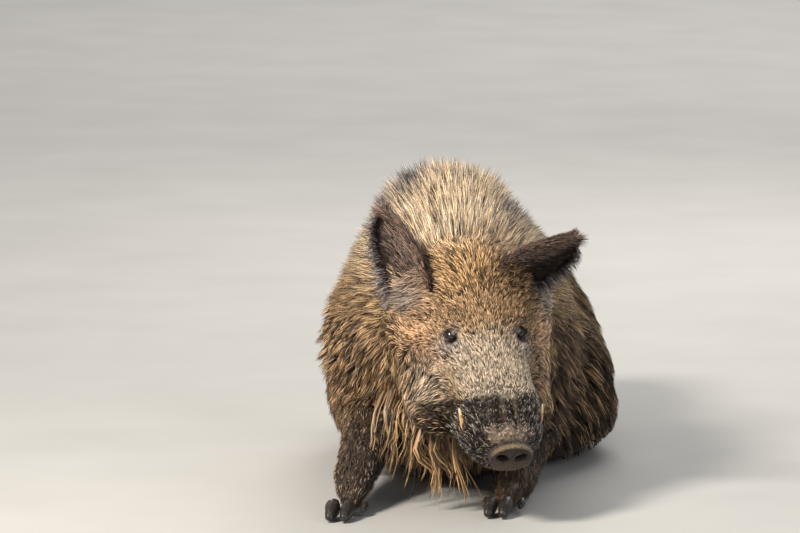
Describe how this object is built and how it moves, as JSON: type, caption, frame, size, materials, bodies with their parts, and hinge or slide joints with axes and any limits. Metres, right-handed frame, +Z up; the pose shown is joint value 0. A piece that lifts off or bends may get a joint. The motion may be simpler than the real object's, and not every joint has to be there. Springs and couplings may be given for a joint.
{
  "type": "wild boar",
  "caption": "Life-size wild boar lying on its belly, forelegs stretched forward, with a shaggy wet coat, a standing mane and its lowered head turned to its left.",
  "frame": {"origin": "on the floor, on the flat of the breast below the withers", "axes": "-Y is the way the body's front points, +X is the boar's left, +Z is up"},
  "size_m": [0.5878, 1.5611, 0.6379],
  "materials": {
    "coat": "coarse grey-brown hair, tan at the tips, clumped and muddy low down",
    "mane_coat": "long straw-tan bristles with dark bases",
    "dark_coat": "wet blackish-brown hair",
    "ear_coat": "short dark brown hair with a long fringe",
    "disc_skin": "bare, wrinkled and muddy",
    "horn": "dark hoof horn",
    "ivory": "stained ivory",
    "eye": "wet and dark brown"
  },
  "bodies": {
    "root": {"ear_left": "ear_coat", "ear_right": "ear_coat", "eye_left": "eye", "eye_right": "eye", "foreleg_left": "dark_coat", "foreleg_left_dewclaw_a": "horn", "foreleg_left_dewclaw_b": "horn", "foreleg_left_toe_a": "horn", "foreleg_left_toe_b": "horn", "foreleg_right": "dark_coat", "foreleg_right_dewclaw_a": "horn", "foreleg_right_dewclaw_b": "horn", "foreleg_right_toe_a": "horn", "foreleg_right_toe_b": "horn", "head": "coat", "hindleg_left": "dark_coat", "hindleg_left_dewclaw_a": "horn", "hindleg_left_dewclaw_b": "horn", "hindleg_left_toe_a": "horn", "hindleg_left_toe_b": "horn", "hindleg_right": "dark_coat", "hindleg_right_dewclaw_a": "horn", "hindleg_right_dewclaw_b": "horn", "hindleg_right_toe_a": "horn", "hindleg_right_toe_b": "horn", "lower_jaw": "dark_coat", "muzzle": "dark_coat", "neck": "mane_coat", "shoulder_left": "coat", "shoulder_right": "coat", "snout_disc": "disc_skin", "tail": "dark_coat", "thigh_left": "coat", "thigh_right": "coat", "throat_locks": "dark_coat", "trunk": "coat", "tusk_left": "ivory", "tusk_right": "ivory"}
  },
  "joints": []
}
